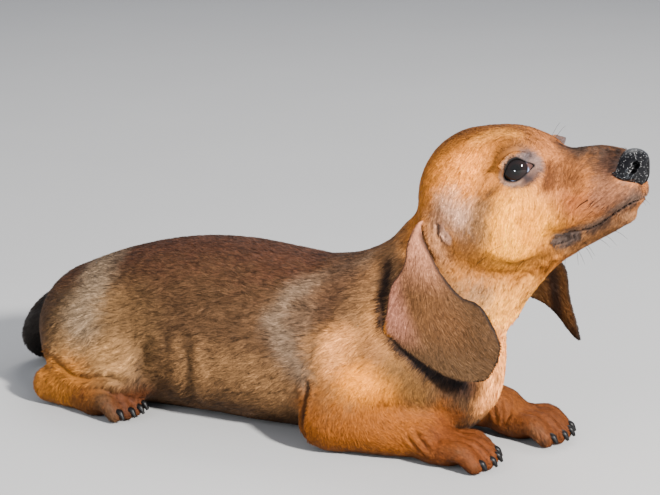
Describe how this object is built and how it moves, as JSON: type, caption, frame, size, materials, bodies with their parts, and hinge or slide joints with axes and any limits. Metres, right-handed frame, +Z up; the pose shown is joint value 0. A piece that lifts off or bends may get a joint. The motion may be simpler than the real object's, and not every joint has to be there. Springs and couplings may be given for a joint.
{
  "type": "puppy",
  "caption": "Smooth-haired dachshund puppy lying down, forepaws forward, head raised, long ears hanging, tail on the floor.",
  "frame": {"origin": "on the floor, at the middle of the bounding box seen from above", "axes": "+X towards the nose, +Y to the dog's left, +Z up"},
  "size_m": [0.3674, 0.1344, 0.164],
  "materials": {
    "face_coat": "short smooth golden tan fur",
    "body_coat": "short sable fur with dark tips",
    "ear_coat": "fine grey-brown fur with a soft sheen",
    "leg_coat": "short tan fur",
    "paw_coat": "short rust fur",
    "tail_coat": "short black-brown fur",
    "nose_leather": "moist pebbled black",
    "eye": "wet, very dark brown",
    "claw": "smooth black horn"
  },
  "bodies": {
    "root": {"head": "face_coat", "lower_jaw": "face_coat", "nose": "nose_leather", "neck": "face_coat", "torso": "body_coat", "tail": "tail_coat", "ear_right": "ear_coat", "ear_left": "ear_coat", "eye_right": "eye", "eye_left": "eye", "foreleg_right": "leg_coat", "foreleg_left": "leg_coat", "forepaw_right": "paw_coat", "forepaw_left": "paw_coat", "hindleg_right": "leg_coat", "hindleg_left": "leg_coat", "hindpaw_right": "paw_coat", "hindpaw_left": "paw_coat", "claw_fore_right_1": "claw", "claw_fore_right_2": "claw", "claw_fore_right_3": "claw", "claw_fore_right_4": "claw", "claw_fore_left_1": "claw", "claw_fore_left_2": "claw", "claw_fore_left_3": "claw", "claw_fore_left_4": "claw", "claw_hind_right_1": "claw", "claw_hind_right_2": "claw", "claw_hind_right_3": "claw", "claw_hind_right_4": "claw", "claw_hind_left_1": "claw", "claw_hind_left_2": "claw", "claw_hind_left_3": "claw", "claw_hind_left_4": "claw"}
  },
  "joints": []
}
